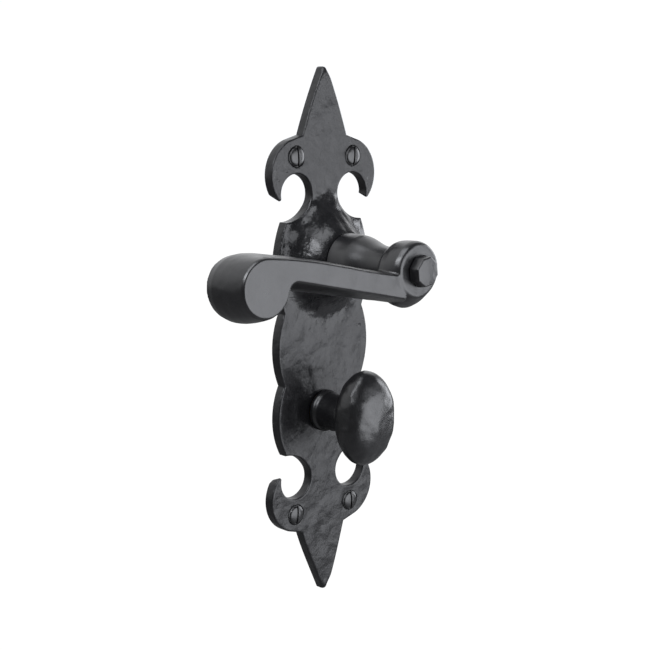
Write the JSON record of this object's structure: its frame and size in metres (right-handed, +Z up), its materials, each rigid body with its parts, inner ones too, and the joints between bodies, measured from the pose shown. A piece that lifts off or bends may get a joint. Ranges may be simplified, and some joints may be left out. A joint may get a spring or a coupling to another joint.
{
  "type": "door lever handle",
  "caption": "Black iron fleur-de-lys lever handle on a bathroom backplate: sprung scroll lever above, oval thumb turn below, raised slotted screws, spring and stops behind the plate.",
  "frame": {"origin": "Middle of the backplate's flat back, halfway between its two tips.", "axes": "+Z up along the backplate, +Y into the door, so the front faces -Y, and +X to the right of a person facing the door. The lever points to -X."},
  "size_m": [0.1044, 0.0643, 0.1986],
  "materials": {
    "black_iron": "black powder coat over hammered cast iron, satin",
    "black_steel": "black coated steel, satin",
    "bright_steel": "zinc plated steel, slightly dull",
    "bush_brass": "turned brass, dull"
  },
  "bodies": {
    "plate": {"backplate": "black_iron", "screw_top_left": "black_steel", "screw_top_right": "black_steel", "screw_bottom_left": "black_steel", "screw_bottom_right": "black_steel", "lever_bush": "bush_brass", "turn_bush": "bush_brass", "stop_pin_rest": "bright_steel", "stop_pin_down": "bright_steel", "return_spring": "bright_steel"},
    "lever": {"lever_arm": "black_iron", "lever_neck": "black_iron", "eye_pin": "black_iron", "stop_plate": "bright_steel", "lever_washer": "bright_steel", "lever_circlip": "bright_steel", "lever_grub_screw": "black_steel"},
    "turn": {"turn_knob": "black_iron", "turn_wave_washer": "bright_steel", "turn_washer": "bright_steel", "turn_circlip": "bright_steel", "turn_grub_screw": "black_steel"}
  },
  "joints": [
    {"name": "lever_turn", "type": "hinge", "parent": "plate", "child": "lever", "pos_m": [0, 0, 0.0287], "axis": [0, -1, 0], "range_deg": [0, 40], "stiffness_Nm_per_rad": 0.9, "springref_deg": -20.05, "deforming": ["return_spring"]},
    {"name": "turn_lock", "type": "hinge", "parent": "plate", "child": "turn", "pos_m": [0, 0, -0.0283], "axis": [0, 1, 0], "range_deg": [0, 90]}
  ]
}
